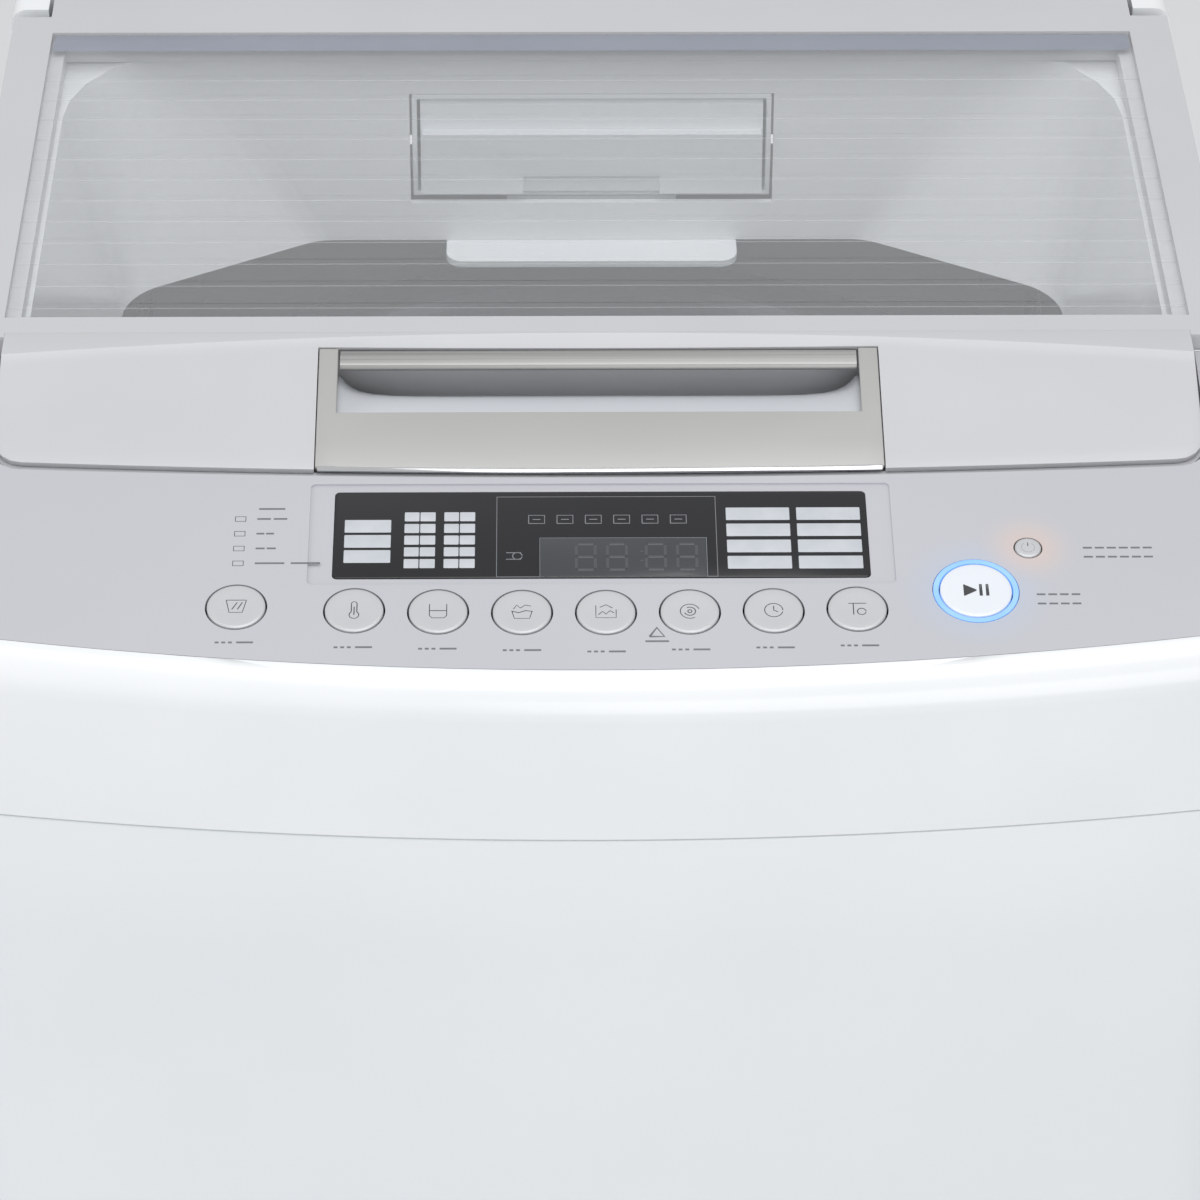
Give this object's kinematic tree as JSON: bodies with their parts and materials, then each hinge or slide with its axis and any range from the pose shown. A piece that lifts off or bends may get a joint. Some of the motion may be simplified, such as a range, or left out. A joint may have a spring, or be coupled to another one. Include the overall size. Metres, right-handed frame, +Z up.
{
  "type": "top load washing machine",
  "caption": "White top-loading washing machine with a hinged window lid, a front control panel, a hung tub, a spinning drum and a belt-driven pulsator.",
  "frame": {"origin": "on the floor, at the middle of the machine's footprint", "axes": "+X to the machine's right seen from the front, +Y to the rear, +Z up; the front faces -Y"},
  "size_m": [0.54, 0.54, 0.905],
  "materials": {
    "cabinet_white": "smooth gloss enamel on sheet steel",
    "rear_grey": "satin enamel on pressed sheet steel",
    "zinc_steel": "zinc plated",
    "base_grey": "fine-grained moulding",
    "foot_dark": "moulded rubber pad over a steel stem",
    "cover_white": "glossy moulding",
    "panel_silver": "satin silver paint on plastic",
    "display_black": "glossy smoked window",
    "board_green": "lacquered circuit board",
    "button_silver": "pearl silver keys",
    "start_white": "pearl white key",
    "light_ring": "translucent blue light guide",
    "lid_grey": "light grey satin moulding",
    "lid_glass": "clear window with fine ribs",
    "handle_silver": "satin silver moulding",
    "cup_grey": "smooth blue-grey moulding",
    "grip_metal": "brushed strip",
    "pin_steel": "turned steel",
    "switch_dark": "smooth moulding",
    "dispenser_white": "glossy moulding",
    "valve_blue": "smooth moulding",
    "gland_black": "smooth moulding",
    "seat_white": "self-lubricating moulding",
    "cup_dark": "smooth moulding",
    "spring_steel": "drawn wire",
    "tub_white": "ribbed moulding",
    "tub_ring_grey": "dark grey moulding",
    "seal_black": "lip seal",
    "drum_steel": "polished stainless sheet",
    "drum_base_grey": "ribbed moulding",
    "balance_grey": "welded hollow ring",
    "lint_white": "moulded cage",
    "pulsator_grey": "glossy moulding",
    "cast_aluminium": "die cast",
    "belt_rubber": "fabric-backed rubber",
    "motor_dark": "painted end shields and laminations",
    "drain_white": "smooth moulding",
    "hose_rubber": "corrugated rubber",
    "elbow_grey": "smooth moulding"
  },
  "bodies": {
    "casing": {"cabinet": "cabinet_white", "rear_cover": "rear_grey", "rear_cover_screws": "zinc_steel", "base_frame": "base_grey", "foot_lock_nuts": "zinc_steel", "top_cover": "cover_white", "control_panel": "panel_silver", "display_window": "display_black", "control_board": "board_green", "start_light_ring": "light_ring", "hinge_pins": "pin_steel", "lid_switch": "switch_dark", "dispenser_housing": "dispenser_white", "inlet_valves": "valve_blue", "cord_gland": "gland_black", "corner_brackets": "zinc_steel", "rod_seats": "seat_white", "suspension_rods": "pin_steel", "drain_elbow": "elbow_grey"},
    "lid": {"lid_frame": "lid_grey", "lid_window": "lid_glass", "lid_front_cover": "lid_grey", "handle_bezel": "handle_silver", "handle_cup": "cup_grey", "handle_grip": "grip_metal"},
    "drawer": {"detergent_drawer": "dispenser_white"},
    "tub": {"outer_tub": "tub_white", "tub_cover": "tub_ring_grey", "tub_seal": "seal_black", "suspension_cups": "cup_dark", "suspension_springs": "spring_steel", "clutch_housing": "cast_aluminium", "drive_plate": "zinc_steel", "motor_stator": "motor_dark", "drive_belt": "belt_rubber", "drain_valve": "drain_white", "drain_bellows": "hose_rubber"},
    "drum": {"inner_drum": "drum_steel", "drum_base": "drum_base_grey", "balance_ring": "balance_grey", "lint_filters": "lint_white", "spin_shaft": "pin_steel"},
    "agitator": {"pulsator": "pulsator_grey", "wash_shaft": "pin_steel", "clutch_pulley": "cast_aluminium"},
    "rotor": {"motor_rotor": "pin_steel"},
    "button_program": {"button_program": "button_silver"},
    "button_temperature": {"button_temperature": "button_silver"},
    "button_water_level": {"button_water_level": "button_silver"},
    "button_wash": {"button_wash": "button_silver"},
    "button_rinse": {"button_rinse": "button_silver"},
    "button_spin": {"button_spin": "button_silver"},
    "button_delay": {"button_delay": "button_silver"},
    "button_option": {"button_option": "button_silver"},
    "button_start": {"button_start": "start_white"},
    "button_power": {"button_power": "button_silver"},
    "foot_front_left": {"foot_front_left": "foot_dark"},
    "foot_front_right": {"foot_front_right": "foot_dark"},
    "foot_rear_left": {"foot_rear_left": "foot_dark"},
    "foot_rear_right": {"foot_rear_right": "foot_dark"}
  },
  "joints": [
    {"name": "lid_hinge", "type": "hinge", "parent": "casing", "child": "lid", "pos_m": [0, 0.204, 0.893], "axis": [-1, 0, 0], "range_deg": [0, 100]},
    {"name": "drawer_slide", "type": "slide", "parent": "casing", "child": "drawer", "axis": [0, -1, 0], "range_m": [0, 0.07]},
    {"name": "button_program_press", "type": "slide", "parent": "casing", "child": "button_program", "axis": [0, 0.1668, -0.986], "range_m": [0, 0.0012], "stiffness_N_per_m": 800, "springref_m": -0.001},
    {"name": "button_temperature_press", "type": "slide", "parent": "casing", "child": "button_temperature", "axis": [0, 0.1668, -0.986], "range_m": [0, 0.0012], "stiffness_N_per_m": 800, "springref_m": -0.001},
    {"name": "button_water_level_press", "type": "slide", "parent": "casing", "child": "button_water_level", "axis": [0, 0.1668, -0.986], "range_m": [0, 0.0012], "stiffness_N_per_m": 800, "springref_m": -0.001},
    {"name": "button_wash_press", "type": "slide", "parent": "casing", "child": "button_wash", "axis": [0, 0.1668, -0.986], "range_m": [0, 0.0012], "stiffness_N_per_m": 800, "springref_m": -0.001},
    {"name": "button_rinse_press", "type": "slide", "parent": "casing", "child": "button_rinse", "axis": [0, 0.1668, -0.986], "range_m": [0, 0.0012], "stiffness_N_per_m": 800, "springref_m": -0.001},
    {"name": "button_spin_press", "type": "slide", "parent": "casing", "child": "button_spin", "axis": [0, 0.1668, -0.986], "range_m": [0, 0.0012], "stiffness_N_per_m": 800, "springref_m": -0.001},
    {"name": "button_delay_press", "type": "slide", "parent": "casing", "child": "button_delay", "axis": [0, 0.1668, -0.986], "range_m": [0, 0.0012], "stiffness_N_per_m": 800, "springref_m": -0.001},
    {"name": "button_option_press", "type": "slide", "parent": "casing", "child": "button_option", "axis": [0, 0.1668, -0.986], "range_m": [0, 0.0012], "stiffness_N_per_m": 800, "springref_m": -0.001},
    {"name": "button_start_press", "type": "slide", "parent": "casing", "child": "button_start", "axis": [0, 0.1668, -0.986], "range_m": [0, 0.0012], "stiffness_N_per_m": 800, "springref_m": -0.001},
    {"name": "button_power_press", "type": "slide", "parent": "casing", "child": "button_power", "axis": [0, 0.1668, -0.986], "range_m": [0, 0.0012], "stiffness_N_per_m": 800, "springref_m": -0.001},
    {"name": "foot_front_left_turn", "type": "hinge", "parent": "casing", "child": "foot_front_left", "pos_m": [-0.222, -0.218, 0.02], "axis": [0, 0, 1], "range_deg": [-180, 180]},
    {"name": "foot_front_right_turn", "type": "hinge", "parent": "casing", "child": "foot_front_right", "pos_m": [0.222, -0.218, 0.02], "axis": [0, 0, 1], "range_deg": [-180, 180]},
    {"name": "foot_rear_left_turn", "type": "hinge", "parent": "casing", "child": "foot_rear_left", "pos_m": [-0.222, 0.218, 0.02], "axis": [0, 0, 1], "range_deg": [-180, 180]},
    {"name": "foot_rear_right_turn", "type": "hinge", "parent": "casing", "child": "foot_rear_right", "pos_m": [0.222, 0.218, 0.02], "axis": [0, 0, 1], "range_deg": [-180, 180]},
    {"name": "tub_bounce", "type": "slide", "parent": "casing", "child": "tub", "axis": [0, 0, 1], "range_m": [-0.015, 0.01], "stiffness_N_per_m": 14000, "springref_m": 0.02022, "deforming": ["suspension_springs", "drain_bellows"]},
    {"name": "drum_spin", "type": "hinge", "parent": "tub", "child": "drum", "pos_m": [0, 0, 0.4], "axis": [0, 0, 1], "continuous": true},
    {"name": "pulsator_spin", "type": "hinge", "parent": "tub", "child": "agitator", "pos_m": [0, 0, 0.25], "axis": [0, 0, 1], "continuous": true},
    {"name": "motor_spin", "type": "hinge", "parent": "tub", "child": "rotor", "pos_m": [0.14954, 0.06973, 0.14], "axis": [0, 0, 1], "continuous": true}
  ],
  "couplings": [
    {"joint": "motor_spin", "follows": "pulsator_spin", "ratio": 3.7053}
  ]
}
